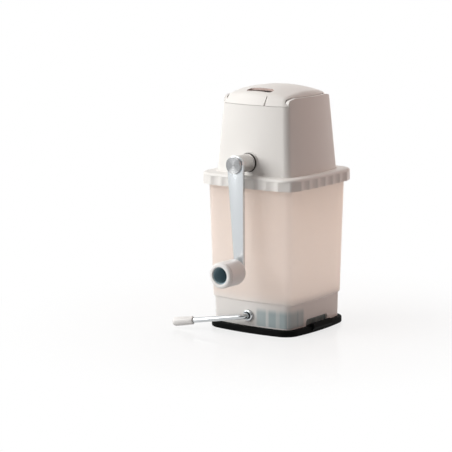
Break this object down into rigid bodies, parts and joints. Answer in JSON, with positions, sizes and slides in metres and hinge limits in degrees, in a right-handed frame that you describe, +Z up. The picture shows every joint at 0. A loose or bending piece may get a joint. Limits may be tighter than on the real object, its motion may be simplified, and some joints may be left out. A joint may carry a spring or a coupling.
{
  "type": "hand-cranked ice crusher",
  "caption": "White hand-cranked ice crusher: square ice cup on a suction foot, fluted collar, tapered hopper with hinged lid, side crank with round knob, and a small suction lever.",
  "frame": {"origin": "centre of the rubber pad's flat underside, on the vertical axis of the square cup, at table level", "axes": "+Z up; -Y is the side with the crank; +X is the side with the pad's release tab; the lid is hinged on the +Y side"},
  "size_m": [0.1436, 0.176, 0.2641],
  "materials": {
    "pad_rubber": "matte black rubber",
    "cup_plastic": "glossy white plastic, slightly translucent and warm",
    "insert_plastic": "pale blue-grey plastic",
    "housing_plastic": "glossy white plastic",
    "collar_plastic": "glossy white plastic",
    "lid_plastic": "glossy white plastic",
    "grip_plastic": "glossy white plastic",
    "hub_plastic": "satin grey plastic",
    "knob_plastic": "glossy white plastic",
    "lining_plastic": "dark slate plastic",
    "bushing_plastic": "natural acetal",
    "spacer_plastic": "white acetal",
    "dark_washer": "black sealing washer",
    "chromed_steel": "bright chrome plate",
    "arm_steel": "satin chromed steel",
    "toothed_steel": "ground stainless steel",
    "screw_steel": "zinc plated steel",
    "cast_zinc": "die cast zinc"
  },
  "bodies": {
    "foot": {"suction_pad": "pad_rubber", "container": "cup_plastic", "base_insert": "insert_plastic", "lever_ferrule": "chromed_steel", "base_screws": "screw_steel"},
    "lever": {"suction_lever": "chromed_steel", "lever_grip": "grip_plastic", "lever_cam": "cast_zinc", "lever_clip": "screw_steel"},
    "stud": {"pull_stud": "cast_zinc"},
    "head": {"collar": "collar_plastic", "hopper_housing": "housing_plastic", "comb_left": "toothed_steel", "comb_right": "toothed_steel", "comb_screws": "screw_steel", "collar_screws": "screw_steel", "front_bushing": "bushing_plastic", "rear_bushing": "bushing_plastic", "lid_pin": "screw_steel"},
    "lid": {"lid": "lid_plastic"},
    "crank": {"drive_shaft": "toothed_steel", "crusher_disc_1": "toothed_steel", "crusher_disc_2": "toothed_steel", "crusher_disc_3": "toothed_steel", "crusher_disc_4": "toothed_steel", "crusher_disc_5": "toothed_steel", "rotor_spacer_1": "spacer_plastic", "rotor_spacer_2": "spacer_plastic", "rotor_spacer_3": "spacer_plastic", "rotor_spacer_4": "spacer_plastic", "rotor_spacer_5": "spacer_plastic", "rotor_spacer_6": "spacer_plastic", "rotor_circlip": "screw_steel", "hub_washer": "dark_washer", "crank_hub": "hub_plastic", "crank_arm": "arm_steel", "crank_cap": "chromed_steel", "knob_bolt": "screw_steel", "knob_washer": "screw_steel"},
    "knob": {"knob": "knob_plastic", "knob_lining": "lining_plastic"}
  },
  "joints": [
    {"name": "lever_turn", "type": "hinge", "parent": "foot", "child": "lever", "pos_m": [0, -0.0534, 0.0186], "axis": [0, 1, 0], "range_deg": [0, 80]},
    {"name": "stud_lift", "type": "slide", "parent": "foot", "child": "stud", "axis": [0, 0, 1], "range_m": [0, 0.00226]},
    {"name": "head_lift", "type": "slide", "parent": "foot", "child": "head", "axis": [0, 0, 1], "range_m": [0, 0.06]},
    {"name": "lid_hinge", "type": "hinge", "parent": "head", "child": "lid", "pos_m": [0, 0.0516, 0.2443], "axis": [-1, 0, 0], "range_deg": [0, 105]},
    {"name": "crank_spin", "type": "hinge", "parent": "head", "child": "crank", "pos_m": [0, -0.06, 0.1848], "axis": [0, -1, 0], "continuous": true},
    {"name": "knob_spin", "type": "hinge", "parent": "crank", "child": "knob", "pos_m": [0.00473, -0.1, 0.0719], "axis": [0, -1, 0], "continuous": true}
  ],
  "couplings": [
    {"joint": "lever_turn", "follows": "stud_lift", "rad_per_m": 617.28}
  ]
}
